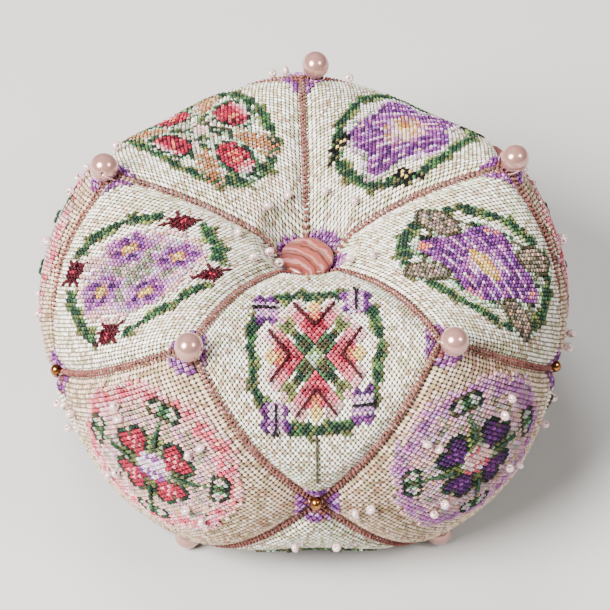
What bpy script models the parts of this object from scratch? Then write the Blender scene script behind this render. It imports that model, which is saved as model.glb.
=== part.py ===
"""A biscornu: fifteen embroidered squares sewn edge to edge into a stuffed ball.

Three rings of five squares each.  Five meet under a button at the top, five
stand round the belt, and five meet under a button below.  Each corner where
three squares meet has a pearl, and each corner where four meet has a gold bead.

Sizes are in millimetres from the middle of the ball, and the finished meshes
are in metres, standing on z = 0.  Azimuth 0 is the front (-Y), and it grows
towards +X.
"""
import math
from collections import namedtuple

import bmesh
import bpy
import numpy as np
from mathutils import Matrix, Vector
from mathutils.bvhtree import BVHTree

MM = 0.001

# Driving sizes
FLOOR = -29.4             # the level the ball stands on, below its middle
CELLS = 16                # facets along a square's side
TOP_CROWN = 2.5           # how far a square's middle stands over its seams
BELT_CROWN = 1.7
BOTTOM_CROWN = 2.1
CROWN_SHAPE = 6.0         # higher: flatter middle
SEAM_DEPTH = 1.2          # how far the stitches draw a seam in
SEAM_WIDTH = 1.9          # how far from a seam the cloth is drawn in
SIDE = 47.2               # a square's side, 52 threads
PEARL_RADIUS = 3.0
GOLD_RADIUS = 1.2
BUTTON_RADIUS = 5.6
BUTTON_THICKNESS = 2.8
BUTTON_EDGE = 0.9         # width of the slope round its rim
BUTTON_HOLLOW = 0.7       # depth of the well in its face
WELL_TOP = 0.62 * BUTTON_RADIUS
WELL_FLOOR = 0.45 * BUTTON_RADIUS
GAP = 0.3                 # between a sewn-on piece and the cloth
DIMPLE_SLOPE = 1.6        # how steeply the cloth rises round a button
DENT_ROUND = 0.8          # the part of a pearl's dent that is round, the rest is a cone
DENT_REACH = 9.0          # no cloth further from a pearl's axis is pressed
SOFTNESS = 1.2            # how gently a pressed place runs out
NORMAL_STEP = 0.01        # of a side, for reading which way a square faces
EDGE_DRAW = 0.45          # how far facets gather at a square's edges, 0 for even ones
WELD = 0.02
SEAT_STEP = 0.05          # how far a bead moves out at a time until it clears the cloth
SEAT_TRIES = 200
BUTTON_STEPS = 24
PEARL_FACETS = (16, 10)   # around, and pole to pole
GOLD_FACETS = (10, 6)

CLOTH_COLOUR = (0.80, 0.74, 0.64)
PEARL_COLOUR = (0.86, 0.66, 0.62)
GOLD_COLOUR = (0.60, 0.36, 0.12)
BUTTON_COLOUR = (0.62, 0.27, 0.20)

Corner = namedtuple("Corner", "azimuth radius height")
Seam = namedtuple("Seam", "bulge sway")
Bead = namedtuple("Bead", "azimuth radius height")

# Corners of the squares, as uneven as hand sewing leaves them
TOP_CORNER = Corner(0.0, 0.0, 15.3)
BOTTOM_CORNER = Corner(0.0, 0.0, -16.0)
UPPER_CORNERS = (
    Corner(-34.8, 44.6, 30.8),
    Corner(35.2, 44.3, 31.0),
    Corner(107.7, 44.5, 31.0),
    Corner(179.9, 43.3, 29.9),
    Corner(-107.8, 43.4, 30.6),
)
BELT_CORNERS = (
    Corner(0.3, 53.3, 1.1),
    Corner(71.8, 54.1, 0.1),
    Corner(144.0, 53.6, 0.3),
    Corner(-143.4, 54.6, -0.3),
    Corner(-73.2, 55.0, 0.9),
)
LOWER_CORNERS = (
    Corner(-36.4, 44.3, -30.3),
    Corner(36.2, 44.7, -30.3),
    Corner(108.3, 44.5, -30.2),
    Corner(180.4, 44.2, -30.3),
    Corner(-107.6, 44.6, -30.2),
)

# Seams: how far the middle of each stands off its chord, outwards and sideways
TOP_SEAMS = (Seam(2.5, 2.6), Seam(2.0, -3.4), Seam(3.5, -0.8), Seam(3.7, -0.1), Seam(3.6, -0.3))
BOTTOM_SEAMS = (Seam(4.2, 0.4), Seam(4.4, -0.5), Seam(4.3, 0.3), Seam(4.1, -0.4), Seam(4.4, 0.2))
# from upper corner k to belt corner k, and from upper corner k + 1 to belt corner k
UPPER_LEFT_SEAMS = (Seam(7.1, -0.1), Seam(6.6, 0.9), Seam(5.7, -0.5), Seam(6.2, 0.3), Seam(5.8, -0.3))
UPPER_RIGHT_SEAMS = (Seam(7.1, 1.3), Seam(5.6, 0.3), Seam(5.8, 0.4), Seam(6.4, -0.5), Seam(6.0, -1.5))
LOWER_LEFT_SEAMS = (Seam(6.2, -0.5), Seam(6.0, -0.2), Seam(6.2, 0.4), Seam(6.3, 0.1), Seam(6.1, 0.3))
LOWER_RIGHT_SEAMS = (Seam(6.3, 0.5), Seam(6.1, -0.3), Seam(6.2, 0.1), Seam(6.1, -0.3), Seam(6.0, 0.3))

# Pearls and gold beads, where their thread lets them lie
UPPER_PEARLS = (
    Bead(-33.6, 45.7, 32.5),
    Bead(36.6, 46.4, 31.9),
    Bead(107.4, 45.9, 32.3),
    Bead(176.0, 45.0, 30.6),
    Bead(-107.2, 44.3, 32.2),
)
LOWER_PEARLS = (
    Bead(-34.0, 46.2, -26.3),
    Bead(34.6, 46.4, -26.3),
    Bead(108.0, 46.6, -26.3),
    Bead(179.0, 46.4, -26.3),
    Bead(-107.0, 46.5, -26.3),
)
GOLD_BEADS = (
    Bead(-0.2, 53.6, 2.6),
    Bead(71.8, 54.0, 1.0),
    Bead(144.4, 54.0, 0.8),
    Bead(-143.4, 54.6, 0.4),
    Bead(-73.2, 55.0, 1.4),
)
TOP_BUTTON_CENTRE = (-0.1, 0.5)
BOTTOM_BUTTON_CENTRE = (0.0, 0.0)


def place(row):
    """A corner or bead's row as a point, in millimetres from the ball's middle."""
    turn = math.radians(row.azimuth)
    return np.array([math.sin(turn) * row.radius, -math.cos(turn) * row.radius, row.height])


def seam_point(start, end, seam, t):
    """Points at t, from 0 to 1, along a bowed seam."""
    chord = (end - start) / np.linalg.norm(end - start)
    middle = (start + end) / 2
    outward = middle - chord * (middle @ chord)
    outward /= np.linalg.norm(outward)
    bow = outward * seam.bulge + np.cross(chord, outward) * seam.sway
    t = np.asarray(t)[..., None]
    return start + (end - start) * t + bow * np.sin(math.pi * t)


class Square:
    """One square between four corners.  sides: each a start, an end and a seam,
    in the order v = 0, u = 1, v = 1 and u = 0, all running with u or v."""

    def __init__(self, sides, crown):
        self.sides = sides
        self.crown = crown
        self.corners = (sides[0][0], sides[0][1], sides[2][1], sides[2][0])

    def flat_point(self, u, v):
        """The surface that the four seams alone would span."""
        bottom, right, top, left = self.sides
        a, b, c, d = self.corners
        along_u = (1 - v)[..., None] * self.edge(bottom, u) + v[..., None] * self.edge(top, u)
        along_v = (1 - u)[..., None] * self.edge(left, v) + u[..., None] * self.edge(right, v)
        weights = ((1 - u) * (1 - v), u * (1 - v), u * v, (1 - u) * v)
        corners = sum(w[..., None] * p for w, p in zip(weights, (a, b, c, d)))
        return along_u + along_v - corners

    @staticmethod
    def edge(side, t):
        start, end, seam, backwards = side
        if backwards:
            return seam_point(end, start, seam, 1 - t)
        return seam_point(start, end, seam, t)

    def point(self, u, v):
        """The crowned surface, drawn in along its four seams."""
        base = self.flat_point(u, v)
        across = self.flat_point(u + NORMAL_STEP, v) - self.flat_point(u - NORMAL_STEP, v)
        along = self.flat_point(u, v + NORMAL_STEP) - self.flat_point(u, v - NORMAL_STEP)
        normal = np.cross(across, along)
        normal /= np.linalg.norm(normal, axis=-1, keepdims=True)
        normal *= np.sign((normal * base).sum(axis=-1, keepdims=True))
        swell = (1 - np.abs(2 * u - 1) ** CROWN_SHAPE) * (1 - np.abs(2 * v - 1) ** CROWN_SHAPE)
        crowned = base + normal * (self.crown * swell)[..., None]
        from_seam = SIDE * np.minimum(np.minimum(u, 1 - u), np.minimum(v, 1 - v))
        drawn = SEAM_DEPTH * np.exp(-((from_seam / SEAM_WIDTH) ** 2))
        outward = crowned / np.linalg.norm(crowned, axis=-1, keepdims=True)
        return crowned - outward * drawn[..., None]


def squares():
    """The fifteen squares: five above, five round the belt, five below."""
    top, bottom = place(TOP_CORNER), place(BOTTOM_CORNER)
    upper = [place(row) for row in UPPER_CORNERS]
    belt = [place(row) for row in BELT_CORNERS]
    lower = [place(row) for row in LOWER_CORNERS]
    made = []
    for pole, ring, pole_seams, left_seams, right_seams, crown in (
        (top, upper, TOP_SEAMS, UPPER_LEFT_SEAMS, UPPER_RIGHT_SEAMS, TOP_CROWN),
        (bottom, lower, BOTTOM_SEAMS, LOWER_LEFT_SEAMS, LOWER_RIGHT_SEAMS, BOTTOM_CROWN),
    ):
        for k in range(5):
            n = (k + 1) % 5
            made.append(Square((
                (pole, ring[k], pole_seams[k], False),
                (ring[k], belt[k], left_seams[k], False),
                (ring[n], belt[k], right_seams[k], False),
                (pole, ring[n], pole_seams[n], False),
            ), crown))
    for k in range(5):
        n = (k + 1) % 5
        made.append(Square((
            (upper[n], belt[k], UPPER_RIGHT_SEAMS[k], False),
            (belt[k], lower[n], LOWER_RIGHT_SEAMS[k], True),
            (belt[n], lower[n], LOWER_LEFT_SEAMS[n], True),
            (upper[n], belt[n], UPPER_LEFT_SEAMS[n], False),
        ), BELT_CROWN))
    return made


def soft_min(a, b, softness):
    """The lower of two heights, rounded where they cross."""
    mix = np.clip(0.5 + 0.5 * (b - a) / softness, 0.0, 1.0)
    return b * (1 - mix) + a * mix - softness * mix * (1 - mix)


def press_button(points, centre, level, side):
    """Draws the cloth in under a button; side is 1 above and -1 below."""
    away = np.hypot(points[:, 0] - centre[0], points[:, 1] - centre[1])
    wall = level + DIMPLE_SLOPE * np.maximum(away - BUTTON_RADIUS - GAP, 0.0)
    points[:, 2] = side * soft_min(side * points[:, 2], wall, SOFTNESS)


def press_pearl(points, middle):
    """Dents the cloth under a pearl, towards the ball's middle."""
    inward = -middle / np.linalg.norm(middle)
    reach = PEARL_RADIUS + 2 * GAP
    offset = points - middle
    depth = offset @ inward
    aside = np.linalg.norm(offset - depth[:, None] * inward, axis=1)
    round_part = DENT_ROUND * reach
    slope = round_part / math.sqrt(reach ** 2 - round_part ** 2)
    floor = np.sqrt(reach ** 2 - np.minimum(aside, round_part) ** 2)
    floor -= slope * np.maximum(aside - round_part, 0.0)
    near = (aside < DENT_REACH) & (depth > -2 * PEARL_RADIUS)
    wanted = -soft_min(-depth, -floor, SOFTNESS)
    points[near] += (wanted - depth)[near, None] * inward


def even_step(t):
    """Grid lines drawn a little towards a square's edges, where it bends most."""
    return t + EDGE_DRAW * (0.5 - 0.5 * np.cos(math.pi * t) - t)


def finish_node(name, bm, colour, roughness, metallic=0.0):
    """Makes the named object from millimetres about the middle, in metres on z = 0."""
    bmesh.ops.translate(bm, verts=bm.verts, vec=(0.0, 0.0, -FLOOR))
    bmesh.ops.scale(bm, verts=bm.verts, vec=(MM, MM, MM))
    bmesh.ops.triangulate(bm, faces=bm.faces)
    bmesh.ops.recalc_face_normals(bm, faces=bm.faces)
    mesh = bpy.data.meshes.new(name)
    bm.to_mesh(mesh)
    bm.free()
    mesh.shade_smooth()
    material = bpy.data.materials.new(name)
    material.use_nodes = True
    shader = material.node_tree.nodes["Principled BSDF"]
    shader.inputs["Base Color"].default_value = (*colour, 1.0)
    shader.inputs["Roughness"].default_value = roughness
    shader.inputs["Metallic"].default_value = metallic
    mesh.materials.append(material)
    node = bpy.data.objects.new(name, mesh)
    bpy.context.scene.collection.objects.link(node)
    return node


def filled_ball():
    """The stuffed ball, with crowned squares, drawn-in seams, dimples and dents."""
    bm = bmesh.new()
    for square in squares():
        made = bmesh.ops.create_grid(bm, x_segments=CELLS, y_segments=CELLS, size=0.5)
        verts = made["verts"]
        u = even_step(np.array([vert.co.x + 0.5 for vert in verts]))
        v = even_step(np.array([vert.co.y + 0.5 for vert in verts]))
        points = square.point(u, v)
        press_button(points, TOP_BUTTON_CENTRE, TOP_CORNER.height, 1)
        press_button(points, BOTTOM_BUTTON_CENTRE, -BOTTOM_CORNER.height, -1)
        for row in UPPER_PEARLS + LOWER_PEARLS:
            press_pearl(points, place(row))
        for vert, point in zip(verts, points):
            vert.co = point
    bmesh.ops.remove_doubles(bm, verts=bm.verts, dist=WELD)
    bmesh.ops.recalc_face_normals(bm, faces=bm.faces)
    everything = bm.verts[:] + bm.edges[:] + bm.faces[:]
    bmesh.ops.bisect_plane(
        bm, geom=everything, plane_co=(0.0, 0.0, FLOOR), plane_no=(0.0, 0.0, -1.0), clear_outer=True
    )
    rims = [edge for edge in bm.edges if edge.is_boundary]
    bmesh.ops.holes_fill(bm, edges=rims)
    return finish_node("filled_ball", bm, CLOTH_COLOUR, 0.9)


def cloth_tree(ball):
    """The ball's faces, to seat beads on."""
    mesh = ball.data
    points = [vert.co.copy() for vert in mesh.vertices]
    return BVHTree.FromPolygons(points, [tuple(face.vertices) for face in mesh.polygons])


def seated(middle, radius, cloth):
    """Moves a bead's middle out, level below the belt, until it clears the cloth by the gap."""
    outward = Vector(middle)
    outward.z = max(outward.z, 0.0)
    outward.normalize()
    spot = Vector(middle)
    for _ in range(SEAT_TRIES):
        in_metres = (spot - Vector((0.0, 0.0, FLOOR))) * MM
        nearest, normal, _, distance = cloth.find_nearest(in_metres)
        inside = (in_metres - nearest).dot(normal) < 0
        if not inside and distance >= (radius + GAP) * MM:
            break
        spot += outward * SEAT_STEP
    return spot


def round_bead(row, radius, facets, cloth):
    """A bead's mesh, seated on the cloth."""
    bm = bmesh.new()
    around, rings = facets
    bmesh.ops.create_uvsphere(bm, u_segments=around, v_segments=rings, radius=radius)
    bmesh.ops.translate(bm, verts=bm.verts, vec=seated(place(row), radius, cloth))
    return bm


def pearls(ring_name, rows, cloth):
    for k, row in enumerate(rows, start=1):
        bm = round_bead(row, PEARL_RADIUS, PEARL_FACETS, cloth)
        finish_node(f"{ring_name}_pearl_{k}", bm, PEARL_COLOUR, 0.2)


def gold_beads(cloth):
    for k, row in enumerate(GOLD_BEADS, start=1):
        bm = round_bead(row, GOLD_RADIUS, GOLD_FACETS, cloth)
        finish_node(f"gold_bead_{k}", bm, GOLD_COLOUR, 0.25, metallic=1.0)


def button(name, centre, level, side):
    """A turned button with a sloped rim round a shallow well, lying on level; side is 1 above
    and -1 below."""
    profile = (
        (0.0, 0.0),
        (BUTTON_RADIUS - BUTTON_EDGE, 0.0),
        (BUTTON_RADIUS, BUTTON_EDGE),
        (BUTTON_RADIUS, BUTTON_THICKNESS - BUTTON_EDGE),
        (BUTTON_RADIUS - BUTTON_EDGE, BUTTON_THICKNESS),
        (WELL_TOP, BUTTON_THICKNESS),
        (WELL_FLOOR, BUTTON_THICKNESS - BUTTON_HOLLOW),
        (0.0, BUTTON_THICKNESS - BUTTON_HOLLOW),
    )
    bm = bmesh.new()
    verts = [bm.verts.new((across, 0.0, up)) for across, up in profile]
    edges = [bm.edges.new(pair) for pair in zip(verts, verts[1:])]
    bmesh.ops.spin(
        bm, geom=verts + edges, cent=(0, 0, 0), axis=(0, 0, 1),
        angle=2 * math.pi, steps=BUTTON_STEPS, use_merge=True
    )
    bmesh.ops.remove_doubles(bm, verts=bm.verts, dist=WELD)
    bmesh.ops.scale(bm, verts=bm.verts, vec=(1.0, 1.0, side))
    bmesh.ops.translate(bm, verts=bm.verts, vec=(*centre, level + side * GAP))
    return finish_node(name, bm, BUTTON_COLOUR, 0.25)


def centre_on_origin():
    """Moves every mesh sideways, so that the whole object stands centred on the origin."""
    nodes = list(bpy.data.objects)
    points = np.array([vert.co[:2] for node in nodes for vert in node.data.vertices])
    middle = (points.min(axis=0) + points.max(axis=0)) / 2
    for node in nodes:
        node.data.transform(Matrix.Translation((-middle[0], -middle[1], 0.0)))


def build():
    for old in list(bpy.data.objects):
        bpy.data.objects.remove(old, do_unlink=True)
    ball = filled_ball()
    cloth = cloth_tree(ball)
    pearls("upper", UPPER_PEARLS, cloth)
    pearls("lower", LOWER_PEARLS, cloth)
    gold_beads(cloth)
    button("top_button", TOP_BUTTON_CENTRE, TOP_CORNER.height, 1)
    button("bottom_button", BOTTOM_BUTTON_CENTRE, BOTTOM_CORNER.height, -1)
    centre_on_origin()


build()
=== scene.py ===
"""The looks of a biscornu: a stuffed ball of fifteen cross-stitched evenweave squares.

Lengths are in millimetres from the ball's middle until world() makes them metres.
A place on a square is (u, v), from 0 to 1 along its sides, or counted in threads.
"""
import math
from collections import namedtuple
from functools import partialmethod

import bmesh
import bpy
import numpy as np
from mathutils import Matrix, Vector

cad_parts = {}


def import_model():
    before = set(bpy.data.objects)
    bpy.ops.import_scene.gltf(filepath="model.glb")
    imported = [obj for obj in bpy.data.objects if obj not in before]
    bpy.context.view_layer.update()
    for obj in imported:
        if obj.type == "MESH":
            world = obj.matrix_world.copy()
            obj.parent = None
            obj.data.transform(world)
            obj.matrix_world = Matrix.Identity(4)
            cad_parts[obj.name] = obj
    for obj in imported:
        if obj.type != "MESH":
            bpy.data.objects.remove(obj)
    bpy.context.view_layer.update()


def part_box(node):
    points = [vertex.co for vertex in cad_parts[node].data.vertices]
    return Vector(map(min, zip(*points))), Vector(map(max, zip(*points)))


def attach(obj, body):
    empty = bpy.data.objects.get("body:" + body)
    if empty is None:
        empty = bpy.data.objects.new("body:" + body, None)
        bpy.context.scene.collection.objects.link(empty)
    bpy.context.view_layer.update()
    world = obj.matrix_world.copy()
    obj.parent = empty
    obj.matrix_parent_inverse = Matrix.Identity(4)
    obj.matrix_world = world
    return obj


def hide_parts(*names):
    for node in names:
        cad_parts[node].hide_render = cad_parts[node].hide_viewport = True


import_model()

MM = 0.001

# The ball's form, as the solids have it
FLOOR = -29.4
TOP_CROWN = 2.5
BELT_CROWN = 1.7
BOTTOM_CROWN = 2.1
CROWN_SHAPE = 6.0
SEAM_DEPTH = 1.2
SEAM_WIDTH = 1.9
SIDE = 47.2
THREADS = 52
PITCH = SIDE / THREADS
PEARL_RADIUS = 3.0
GOLD_RADIUS = 1.2
BUTTON_RADIUS = 5.6
BUTTON_THICKNESS = 2.8
GAP = 0.3
DIMPLE_SLOPE = 1.6
DENT_ROUND = 0.8
DENT_REACH = 9.0
SOFTNESS = 1.2
NORMAL_STEP = 0.01

Spot = namedtuple("Spot", "azimuth radius height")
Seam = namedtuple("Seam", "bulge sway")


def table(kind, *rows):
    """Rows of numbers, as rows with named columns."""
    return tuple(kind(*row) for row in rows)


TOP_CORNER = Spot(0.0, 0.0, 15.3)
BOTTOM_CORNER = Spot(0.0, 0.0, -16.0)
UPPER_CORNERS = table(
    Spot, (-34.8, 44.6, 30.8), (35.2, 44.3, 31.0), (107.7, 44.5, 31.0),
    (179.9, 43.3, 29.9), (-107.8, 43.4, 30.6),
)
BELT_CORNERS = table(
    Spot, (0.3, 53.3, 1.1), (71.8, 54.1, 0.1), (144.0, 53.6, 0.3),
    (-143.4, 54.6, -0.3), (-73.2, 55.0, 0.9),
)
LOWER_CORNERS = table(
    Spot, (-36.4, 44.3, -30.3), (36.2, 44.7, -30.3), (108.3, 44.5, -30.2),
    (180.4, 44.2, -30.3), (-107.6, 44.6, -30.2),
)
TOP_SEAMS = table(Seam, (2.5, 2.6), (2.0, -3.4), (3.5, -0.8), (3.7, -0.1), (3.6, -0.3))
BOTTOM_SEAMS = table(Seam, (4.2, 0.4), (4.4, -0.5), (4.3, 0.3), (4.1, -0.4), (4.4, 0.2))
UPPER_LEFT_SEAMS = table(Seam, (7.1, -0.1), (6.6, 0.9), (5.7, -0.5), (6.2, 0.3), (5.8, -0.3))
UPPER_RIGHT_SEAMS = table(Seam, (7.1, 1.3), (5.6, 0.3), (5.8, 0.4), (6.4, -0.5), (6.0, -1.5))
LOWER_LEFT_SEAMS = table(Seam, (6.2, -0.5), (6.0, -0.2), (6.2, 0.4), (6.3, 0.1), (6.1, 0.3))
LOWER_RIGHT_SEAMS = table(Seam, (6.3, 0.5), (6.1, -0.3), (6.2, 0.1), (6.1, -0.3), (6.0, 0.3))
UPPER_PEARLS = table(
    Spot, (-33.6, 45.7, 32.5), (36.6, 46.4, 31.9), (107.4, 45.9, 32.3),
    (176.0, 45.0, 30.6), (-107.2, 44.3, 32.2),
)
LOWER_PEARLS = table(
    Spot, (-34.0, 46.2, -26.3), (34.6, 46.4, -26.3), (108.0, 46.6, -26.3),
    (179.0, 46.4, -26.3), (-107.0, 46.5, -26.3),
)
TOP_BUTTON_CENTRE = (-0.1, 0.5)
BOTTOM_BUTTON_CENTRE = (0.0, 0.0)

# The cloth
SHEET_STEP = 60.0
HOLE_DEPTH = 0.30
PILLOW = 0.15
UNEVEN = 0.07
NEAR = 0.1
CLOTH_CLEARANCE = 0.25
THREAD_CLEARANCE = 0.02
WELD = 0.01

# Threads as they are laid: how thick they are, how far they rise and how deep their ends sink
Laid = namedtuple("Laid", "width height rise sink")
LOWER_LEG = Laid(0.28, 0.13, 0.20, 0.16)
UPPER_LEG = Laid(0.28, 0.13, 0.35, 0.16)
SEAM_LINE = Laid(0.17, 0.14, 0.2, 0.1)
ARCH_POWER = 0.75
FLATTENED = 0.8
LINE_WIDTH = 0.33
LINE_RISE = 0.8
BARE_RISE = 0.3
NEEDLE_STRAY = 0.04
SEAM_STITCHES = 44
SEAM_INSET = 0.66
WHIP_RISE = 0.95
WHIP_THICK = 0.27
WHIP_SINK = 0.1

# How uneven hand, thread and weave are: the lowest and highest share, or the spread
THREAD_WIDTHS = (0.88, 1.12)
THREAD_RISES = (0.9, 1.1)
THREAD_SHADES = (0.92, 1.07)
SEAM_RISES = (0.92, 1.08)
SEAM_SHADES = (0.68, 1.15)
WEAVE_HEIGHTS = (0.7, 1.3)
SEED_SIZES = (0.92, 1.05)
SEED_SHADES = (0.9, 1.05)
SEED_STRAY = 0.2
CROSS_SHADES = 0.16
CROSS_TINTS = 0.09

# Pearls, beads and buttons
BeadForm = namedtuple("BeadForm", "radius half_height hole arc_points steps")
PEARL = BeadForm(PEARL_RADIUS, 2.85, 0.35, 20, 36)
GOLD = BeadForm(GOLD_RADIUS + 0.2, 1.25, 0.3, 9, 24)
SEED = BeadForm(1.05, 0.72, 0.3, 7, 14)
SEED_LIFT = 0.1
SEED_FOOT = 1.25
SEED_FOOT_DEPTH = 0.2
SEED_HOLD = 0.12
SEED_HOLD_RISE = 0.15
PEARL_HOLD = 0.14
PEARL_FOOT = 0.55
PEARL_FOOT_DEPTH = 0.4
HOLE_SHARE = 0.9
SPUN_WELD = 0.0001
BUTTON_STEPS = 72
CARVE_DEPTH = 0.3
CARVE_REACH = 5.5
CARVE_FADE = 1.2
SHELL_X = -5.0
SHELL_Y = -7.0
SHELL_STEP = 3.1

# The camera, with the picture's middle and size in pixels
CAMERA_DISTANCE = 700.0
CAMERA_ELEVATION = 47.54
CAMERA_AZIMUTH = -3.1
CAMERA_ROLL = -1.3
PIXELS_A_MM = 4.68
PICTURE = 610
PRINCIPAL_X = 306.5
PRINCIPAL_Y = 313.9
SENSOR = 36.0
LIGHT_AIM = (0.0, 0.0, 0.03)

button_low, button_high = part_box("top_button")
SIDEWAYS = np.array([
    (button_low[0] + button_high[0]) / 2 / MM - TOP_BUTTON_CENTRE[0],
    (button_low[1] + button_high[1]) / 2 / MM - TOP_BUTTON_CENTRE[1],
    -FLOOR,
])


def world(points):
    """Millimetres from the ball's middle, as metres in the frame."""
    return (np.asarray(points) + SIDEWAYS) * MM


def unit(ways):
    return ways / np.linalg.norm(ways, axis=-1, keepdims=True)


def place(row):
    """A corner or bead's row as a point."""
    turn = math.radians(row.azimuth)
    return np.array([math.sin(turn) * row.radius, -math.cos(turn) * row.radius, row.height])


def seam_point(start, end, seam, t):
    """Points at t, from 0 to 1, along a bowed seam."""
    chord = unit(end - start)
    middle = (start + end) / 2
    outward = unit(middle - chord * (middle @ chord))
    bow = outward * seam.bulge + np.cross(chord, outward) * seam.sway
    t = np.asarray(t)[..., None]
    return start + (end - start) * t + bow * np.sin(math.pi * t)


def normal_of(surface, u, v, step):
    """The way square to a surface, from its slopes along u and v."""
    across = surface(u + step, v) - surface(u - step, v)
    along = surface(u, v + step) - surface(u, v - step)
    return unit(np.cross(across, along))


def soft_min(a, b, softness):
    """The lower of two heights, rounded where they cross."""
    mix = np.clip(0.5 + 0.5 * (b - a) / softness, 0.0, 1.0)
    return b * (1 - mix) + a * mix - softness * mix * (1 - mix)


def press_button(points, centre, level, side):
    """Draws the cloth in under a button; side is 1 above and -1 below."""
    away = np.hypot(points[:, 0] - centre[0], points[:, 1] - centre[1])
    wall = level + DIMPLE_SLOPE * np.maximum(away - BUTTON_RADIUS - GAP, 0.0)
    points[:, 2] = side * soft_min(side * points[:, 2], wall, SOFTNESS)


def press_pearl(points, middle):
    """Dents the cloth under a pearl, towards the ball's middle."""
    inward = -unit(middle)
    reach = PEARL_RADIUS + 2 * GAP
    offset = points - middle
    depth = offset @ inward
    aside = np.linalg.norm(offset - depth[:, None] * inward, axis=1)
    round_part = DENT_ROUND * reach
    slope = round_part / math.sqrt(reach ** 2 - round_part ** 2)
    floor = np.sqrt(reach ** 2 - np.minimum(aside, round_part) ** 2)
    floor -= slope * np.maximum(aside - round_part, 0.0)
    near = (aside < DENT_REACH) & (depth > -2 * PEARL_RADIUS)
    wanted = -soft_min(-depth, -floor, SOFTNESS)
    points[near] += (wanted - depth)[near, None] * inward


Side = namedtuple("Side", "start end seam backwards", defaults=(False,))


class Square:
    """One square of cloth between four corners, with its sides in the order v = 0, u = 1,
    v = 1 and u = 0."""

    def __init__(self, sides, crown):
        self.sides = sides
        self.crown = crown
        self.corners = (sides[0].start, sides[0].end, sides[2].end, sides[2].start)
        middle = np.array([0.5])
        self.handed = 1.0
        out = self.facing(middle, middle)[0]
        self.handed = float(np.sign(out @ self.cloth(middle, middle)[0]))

    def flat_point(self, u, v):
        """The surface that the four seams alone would span."""
        bottom, right, top, left = self.sides
        a, b, c, d = self.corners
        along_u = (1 - v)[..., None] * self.edge(bottom, u) + v[..., None] * self.edge(top, u)
        along_v = (1 - u)[..., None] * self.edge(left, v) + u[..., None] * self.edge(right, v)
        weights = ((1 - u) * (1 - v), u * (1 - v), u * v, (1 - u) * v)
        corners = sum(w[..., None] * p for w, p in zip(weights, (a, b, c, d)))
        return along_u + along_v - corners

    @staticmethod
    def edge(side, t):
        if side.backwards:
            return seam_point(side.end, side.start, side.seam, 1 - t)
        return seam_point(side.start, side.end, side.seam, t)

    def cloth(self, u, v):
        """The crowned cloth, drawn in along its seams and pressed under buttons and pearls."""
        base = self.flat_point(u, v)
        normal = normal_of(self.flat_point, u, v, NORMAL_STEP)
        normal *= np.sign((normal * base).sum(axis=-1, keepdims=True))
        swell = (1 - abs(2 * u - 1) ** CROWN_SHAPE) * (1 - abs(2 * v - 1) ** CROWN_SHAPE)
        crowned = base + normal * (self.crown * swell)[..., None]
        from_seam = SIDE * np.minimum(np.minimum(u, 1 - u), np.minimum(v, 1 - v))
        drawn = SEAM_DEPTH * np.exp(-((from_seam / SEAM_WIDTH) ** 2))
        points = crowned - unit(crowned) * drawn[..., None]
        press_button(points, TOP_BUTTON_CENTRE, TOP_CORNER.height, 1)
        press_button(points, BOTTOM_BUTTON_CENTRE, -BOTTOM_CORNER.height, -1)
        for row in UPPER_PEARLS + LOWER_PEARLS:
            press_pearl(points, place(row))
        points[:, 2] = np.maximum(points[:, 2], FLOOR + CLOTH_CLEARANCE)
        return points

    def facing(self, u, v):
        """The way out of the cloth."""
        return self.handed * normal_of(self.cloth, u, v, NORMAL_STEP / 2)

    def over(self, spots, height):
        """Points over spots that are counted in threads, and the way out of the cloth there."""
        u, v = spots[:, 0] / THREADS, spots[:, 1] / THREADS
        out = self.facing(u, v)
        return self.cloth(u, v) + out * np.asarray(height)[..., None], out

    def beside(self, side, t, inset):
        """Spots along one side, an inset in threads from its seam."""
        t = np.asarray(t) * THREADS
        inset = np.full_like(t, inset)
        spots = (t, inset), (THREADS - inset, t), (t, THREADS - inset), (inset, t)
        return np.stack(spots[side], axis=1)


def squares():
    """The fifteen squares: five above, five below, five round the belt."""
    top, bottom = place(TOP_CORNER), place(BOTTOM_CORNER)
    upper = [place(row) for row in UPPER_CORNERS]
    belt = [place(row) for row in BELT_CORNERS]
    lower = [place(row) for row in LOWER_CORNERS]
    made = {}
    for name, pole, ring, pole_seams, left_seams, right_seams, crown in (
        ("top", top, upper, TOP_SEAMS, UPPER_LEFT_SEAMS, UPPER_RIGHT_SEAMS, TOP_CROWN),
        ("bottom", bottom, lower, BOTTOM_SEAMS, LOWER_LEFT_SEAMS, LOWER_RIGHT_SEAMS, BOTTOM_CROWN),
    ):
        for k in range(5):
            n = (k + 1) % 5
            made[name, k] = Square((
                Side(pole, ring[k], pole_seams[k]),
                Side(ring[k], belt[k], left_seams[k]),
                Side(ring[n], belt[k], right_seams[k]),
                Side(pole, ring[n], pole_seams[n]),
            ), crown)
    for k in range(5):
        n = (k + 1) % 5
        made["belt", k] = Square((
            Side(upper[n], belt[k], UPPER_RIGHT_SEAMS[k]),
            Side(belt[k], lower[n], LOWER_RIGHT_SEAMS[k], backwards=True),
            Side(belt[n], lower[n], LOWER_LEFT_SEAMS[n], backwards=True),
            Side(upper[n], belt[n], UPPER_LEFT_SEAMS[n]),
        ), BELT_CROWN)
    return made


SQUARES = squares()


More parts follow.
